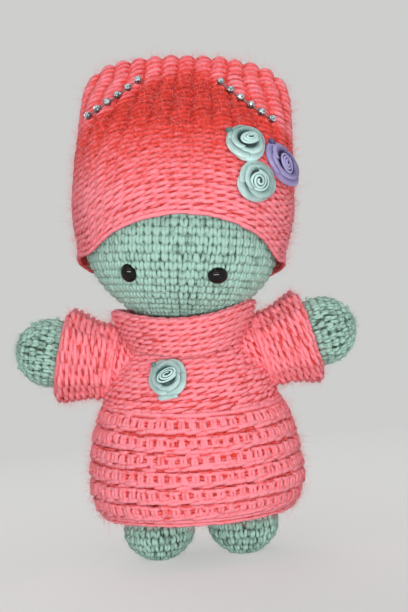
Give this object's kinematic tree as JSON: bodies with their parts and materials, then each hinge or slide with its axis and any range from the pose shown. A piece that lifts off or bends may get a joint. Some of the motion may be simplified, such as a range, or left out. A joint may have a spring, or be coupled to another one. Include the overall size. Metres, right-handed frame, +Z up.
{
  "type": "crocheted doll",
  "caption": "Stuffed crocheted doll with safety eyes in a ribbed coral dress with flared cuffs and a pull-off ribbed hat trimmed with ribbon roses and rhinestone chains.",
  "frame": {"origin": "on the ground under the middle of the doll, between its soles", "axes": "+Z up, -Y towards the doll's front, +X towards the side of its hat roses"},
  "size_m": [0.1828, 0.1052, 0.2697],
  "materials": {
    "sage_yarn": "crocheted acrylic yarn, sage green, slightly fuzzy",
    "coral_yarn": "crocheted acrylic yarn, coral pink, fuzzy",
    "fibre_fill": "loose polyester filling",
    "black_plastic": "polished black",
    "white_plastic": "moulded, matt",
    "mint_satin": "pale mint satin ribbon",
    "lilac_satin": "lilac satin ribbon",
    "silver_metal": "bright plated brass",
    "clear_stone": "cut and polished, clear"
  },
  "bodies": {
    "body": {"body_cover": "sage_yarn", "body_stuffing": "fibre_fill", "dress_bodice": "coral_yarn", "dress_collar": "coral_yarn", "dress_skirt": "coral_yarn", "chest_rose": "mint_satin"},
    "neck": {"neck_ring": "sage_yarn", "neck_stuffing": "fibre_fill"},
    "head": {"head_cover": "sage_yarn", "head_stuffing": "fibre_fill", "left_eye": "black_plastic", "right_eye": "black_plastic", "left_eye_washer": "white_plastic", "right_eye_washer": "white_plastic"},
    "hat": {"hat": "coral_yarn", "left_rhinestone_chain": "silver_metal", "right_rhinestone_chain": "silver_metal", "left_stone_1": "clear_stone", "left_stone_2": "clear_stone", "left_stone_3": "clear_stone", "left_stone_4": "clear_stone", "left_stone_5": "clear_stone", "left_stone_6": "clear_stone", "right_stone_1": "clear_stone", "right_stone_2": "clear_stone", "right_stone_3": "clear_stone", "right_stone_4": "clear_stone", "right_stone_5": "clear_stone", "right_stone_6": "clear_stone", "hat_rose_upper": "mint_satin", "hat_rose_lower": "mint_satin", "hat_rose_lilac": "lilac_satin"},
    "left_arm": {"left_arm_cover": "sage_yarn", "left_arm_stuffing": "fibre_fill", "left_cuff": "coral_yarn"},
    "right_arm": {"right_arm_cover": "sage_yarn", "right_arm_stuffing": "fibre_fill", "right_cuff": "coral_yarn"},
    "left_leg": {"left_leg_cover": "sage_yarn", "left_leg_stuffing": "fibre_fill"},
    "right_leg": {"right_leg_cover": "sage_yarn", "right_leg_stuffing": "fibre_fill"}
  },
  "joints": [
    {"name": "neck_nod", "type": "hinge", "parent": "body", "child": "neck", "pos_m": [-0.0025, 0, 0.126], "axis": [1, 0, 0], "range_deg": [-7, 7]},
    {"name": "head_turn", "type": "hinge", "parent": "neck", "child": "head", "pos_m": [-0.0025, 0, 0.126], "axis": [0.1115, 0, 0.9938], "range_deg": [-25, 25]},
    {"name": "hat_lift", "type": "slide", "parent": "head", "child": "hat", "axis": [0.1115, 0, 0.9938], "range_m": [0, 0.09]},
    {"name": "left_arm_swing", "type": "hinge", "parent": "body", "child": "left_arm", "pos_m": [0.038, 0, 0.1055], "axis": [0, 0, 1], "range_deg": [-18, 18]},
    {"name": "right_arm_swing", "type": "hinge", "parent": "body", "child": "right_arm", "pos_m": [-0.038, 0, 0.1055], "axis": [0, 0, 1], "range_deg": [-18, 18]},
    {"name": "left_leg_swing", "type": "hinge", "parent": "body", "child": "left_leg", "pos_m": [0.0227, 0, 0.038], "axis": [1, 0, 0], "range_deg": [-12, 12]},
    {"name": "right_leg_swing", "type": "hinge", "parent": "body", "child": "right_leg", "pos_m": [-0.0227, 0, 0.038], "axis": [1, 0, 0], "range_deg": [-12, 12]}
  ]
}
